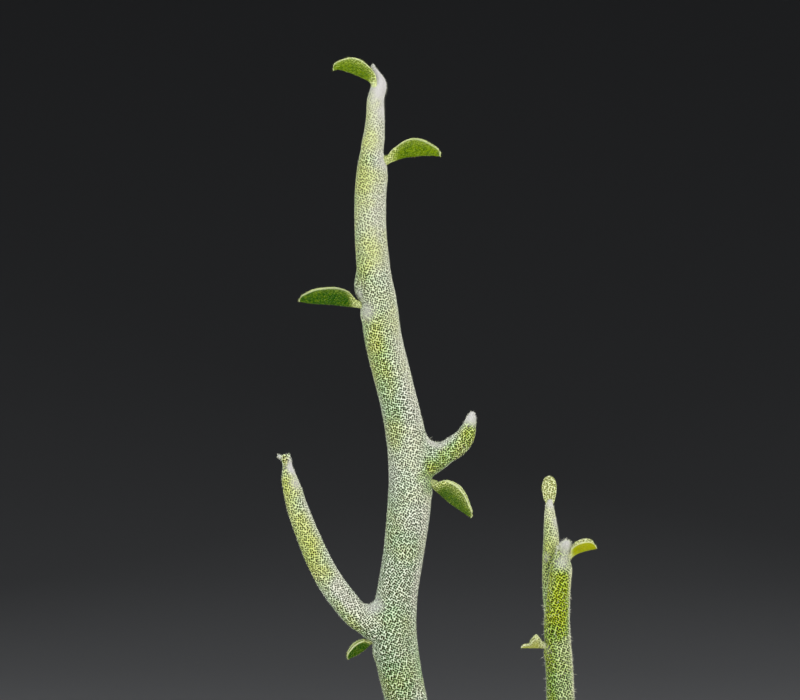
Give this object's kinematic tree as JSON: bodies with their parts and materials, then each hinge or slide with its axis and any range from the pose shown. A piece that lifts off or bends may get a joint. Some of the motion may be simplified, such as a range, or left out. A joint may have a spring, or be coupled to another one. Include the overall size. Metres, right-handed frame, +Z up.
{
  "type": "potted slipper plant",
  "caption": "Round clay pot of gritty soil holding a slender branching succulent with small boat-shaped leaves, for standing on a shelf or table.",
  "frame": {"origin": "the middle of the pot's base, on the surface that it stands on", "axes": "+Z up along the pot's axis; +X to the plant's right, towards the small stem; +Y away from the viewer of the picture"},
  "size_m": [0.0958, 0.0958, 0.2468],
  "materials": {
    "clay": "matte",
    "gritty_soil": "matte",
    "main_stem_skin": "matte",
    "small_stem_skin": "matte",
    "leaf": "satin",
    "pale_leaf": "satin"
  },
  "bodies": {
    "root": {"pot": "clay", "soil": "gritty_soil", "main_stem": "main_stem_skin", "small_stem": "small_stem_skin", "tip_leaf": "leaf", "upper_right_leaf": "leaf", "middle_left_leaf": "leaf", "lower_right_leaf": "leaf", "low_left_leaf": "leaf", "small_stem_top_leaf": "pale_leaf", "small_stem_right_leaf": "pale_leaf", "small_stem_side_leaf": "pale_leaf"}
  },
  "joints": []
}
